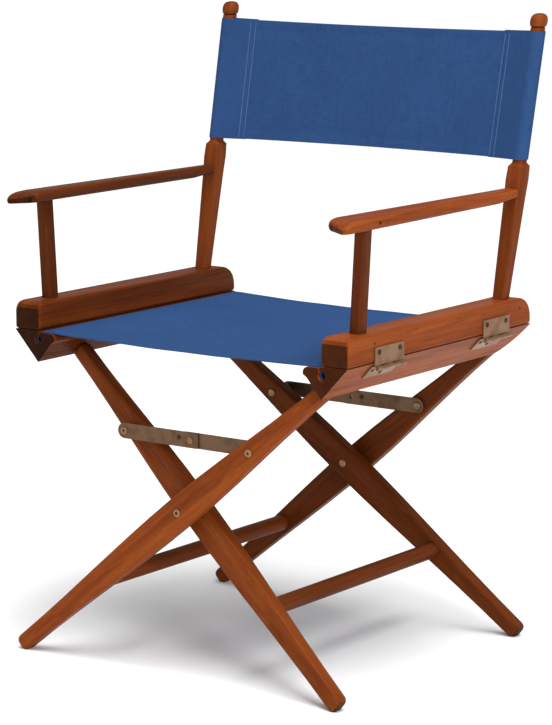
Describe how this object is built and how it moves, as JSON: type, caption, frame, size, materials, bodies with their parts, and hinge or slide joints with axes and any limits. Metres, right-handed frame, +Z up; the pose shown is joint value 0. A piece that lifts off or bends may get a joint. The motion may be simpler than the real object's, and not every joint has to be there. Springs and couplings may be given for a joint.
{
  "type": "director chair",
  "caption": "Folding chair with crossed wooden legs, level arms on long hinged blocks, folding metal braces and a canvas seat and back.",
  "frame": {"origin": "on the floor under the centre of the whole chair", "axes": "+Z up, +X across the chair to the side of the outer legs' tops, -Y the way the sitter faces"},
  "size_m": [0.5606, 0.5002, 0.864],
  "materials": {
    "stained_wood": "satin stain",
    "dowel_wood": "satin stain, darker",
    "canvas": "plain-weave cotton canvas",
    "bronzed_steel": "antique bronze plating"
  },
  "bodies": {
    "arm_right": {"arm_base_right": "stained_wood", "front_post_right": "stained_wood", "armrest_right": "stained_wood", "back_post_right": "stained_wood", "knob_right": "stained_wood", "front_hinge_right_upper_leaf": "bronzed_steel", "front_hinge_right_pin": "bronzed_steel", "front_hinge_right_screw_1": "bronzed_steel", "front_hinge_right_screw_2": "bronzed_steel", "rear_hinge_right_upper_leaf": "bronzed_steel", "rear_hinge_right_pin": "bronzed_steel", "rear_hinge_right_screw_1": "bronzed_steel", "rear_hinge_right_screw_2": "bronzed_steel", "back_canvas": "canvas"},
    "outer_frame": {"outer_front_leg": "stained_wood", "outer_rear_leg": "stained_wood", "outer_stretcher": "stained_wood", "seat_rail_right": "stained_wood", "seat_dowel_right": "dowel_wood", "front_hinge_right_lower_leaf": "bronzed_steel", "rear_hinge_right_lower_leaf": "bronzed_steel", "front_brace_rivet_outer": "bronzed_steel", "front_brace_spacer_outer": "bronzed_steel", "rear_brace_rivet_outer": "bronzed_steel", "rear_brace_spacer_outer": "bronzed_steel", "seat_canvas": "canvas", "front_pivot_rivet": "bronzed_steel", "front_pivot_spacer": "bronzed_steel", "rear_pivot_rivet": "bronzed_steel", "rear_pivot_spacer": "bronzed_steel"},
    "inner_frame": {"inner_front_leg": "stained_wood", "inner_rear_leg": "stained_wood", "inner_stretcher": "stained_wood", "seat_rail_left": "stained_wood", "seat_dowel_left": "dowel_wood", "front_hinge_left_lower_leaf": "bronzed_steel", "rear_hinge_left_lower_leaf": "bronzed_steel", "front_brace_rivet_inner": "bronzed_steel", "front_brace_spacer_inner": "bronzed_steel", "rear_brace_rivet_inner": "bronzed_steel", "rear_brace_spacer_inner": "bronzed_steel"},
    "arm_left": {"arm_base_left": "stained_wood", "front_post_left": "stained_wood", "armrest_left": "stained_wood", "back_post_left": "stained_wood", "knob_left": "stained_wood", "front_hinge_left_upper_leaf": "bronzed_steel", "front_hinge_left_pin": "bronzed_steel", "front_hinge_left_screw_1": "bronzed_steel", "front_hinge_left_screw_2": "bronzed_steel", "rear_hinge_left_upper_leaf": "bronzed_steel", "rear_hinge_left_pin": "bronzed_steel", "rear_hinge_left_screw_1": "bronzed_steel", "rear_hinge_left_screw_2": "bronzed_steel"},
    "front_brace_outer_link": {"front_brace_outer": "bronzed_steel"},
    "front_brace_inner_link": {"front_brace_inner": "bronzed_steel", "front_brace_joint_rivet": "bronzed_steel"},
    "rear_brace_outer_link": {"rear_brace_outer": "bronzed_steel"},
    "rear_brace_inner_link": {"rear_brace_inner": "bronzed_steel", "rear_brace_joint_rivet": "bronzed_steel"}
  },
  "joints": [
    {"name": "fold", "type": "hinge", "parent": "arm_right", "child": "outer_frame", "pos_m": [0.2775, -0.0142, 0.4373], "axis": [0, -1, 0], "range_deg": [0, 40], "deforming": ["seat_canvas", "back_canvas"]},
    {"name": "leg_scissor", "type": "hinge", "parent": "outer_frame", "child": "inner_frame", "pos_m": [0, -0.0142, 0.2235], "axis": [0, 1, 0], "range_deg": [0, 80]},
    {"name": "left_arm_hinge", "type": "hinge", "parent": "inner_frame", "child": "arm_left", "pos_m": [-0.2775, -0.0142, 0.4373], "axis": [0, -1, 0], "range_deg": [0, 40]},
    {"name": "front_brace_outer_swing", "type": "hinge", "parent": "outer_frame", "child": "front_brace_outer_link", "pos_m": [0.1114, -0.2022, 0.31632], "axis": [0, -1, 0], "range_deg": [0, 36.68]},
    {"name": "front_brace_inner_swing", "type": "hinge", "parent": "inner_frame", "child": "front_brace_inner_link", "pos_m": [-0.1114, -0.2022, 0.31632], "axis": [0, 1, 0], "range_deg": [0, 36.68]},
    {"name": "rear_brace_outer_swing", "type": "hinge", "parent": "outer_frame", "child": "rear_brace_outer_link", "pos_m": [0.1114, 0.1738, 0.31632], "axis": [0, -1, 0], "range_deg": [0, 36.68]},
    {"name": "rear_brace_inner_swing", "type": "hinge", "parent": "inner_frame", "child": "rear_brace_inner_link", "pos_m": [-0.1114, 0.1738, 0.31632], "axis": [0, 1, 0], "range_deg": [0, 36.68]}
  ],
  "couplings": [
    {"joint": "leg_scissor", "follows": "fold", "ratio": 2},
    {"joint": "left_arm_hinge", "follows": "fold", "ratio": 1},
    {"joint": "front_brace_outer_swing", "follows": "fold", "ratio": 0.9168},
    {"joint": "front_brace_inner_swing", "follows": "fold", "ratio": 0.9168},
    {"joint": "rear_brace_outer_swing", "follows": "fold", "ratio": 0.9168},
    {"joint": "rear_brace_inner_swing", "follows": "fold", "ratio": 0.9168}
  ]
}
